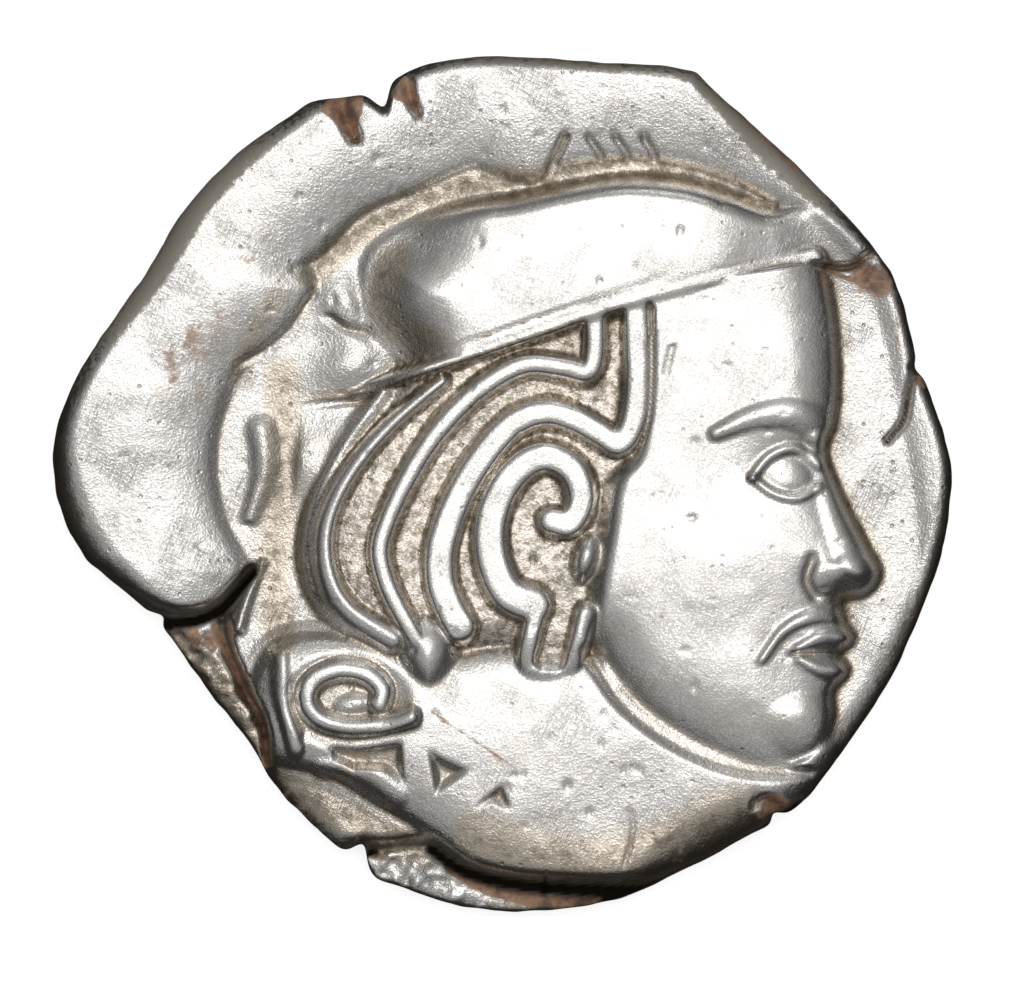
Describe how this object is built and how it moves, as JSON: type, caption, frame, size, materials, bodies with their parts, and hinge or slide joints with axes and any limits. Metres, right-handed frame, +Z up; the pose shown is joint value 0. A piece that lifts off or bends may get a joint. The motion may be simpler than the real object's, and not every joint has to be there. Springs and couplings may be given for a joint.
{
  "type": "ancient silver drachm",
  "caption": "Thick hammered silver coin with an irregular split edge, struck off-centre with a capped head in profile facing right.",
  "frame": {"origin": "middle of the bounding box in plan, on the plane the coin rests on", "axes": "+X towards the coin's right and +Y towards the top of the head as the obverse is read, +Z up out of the obverse"},
  "size_m": [0.0156, 0.0148, 0.0018],
  "materials": {
    "worn_silver": "worn bare silver, satin, with brown and copper-red deposits in its cracks"
  },
  "bodies": {
    "root": {"drachm": "worn_silver"}
  },
  "joints": []
}
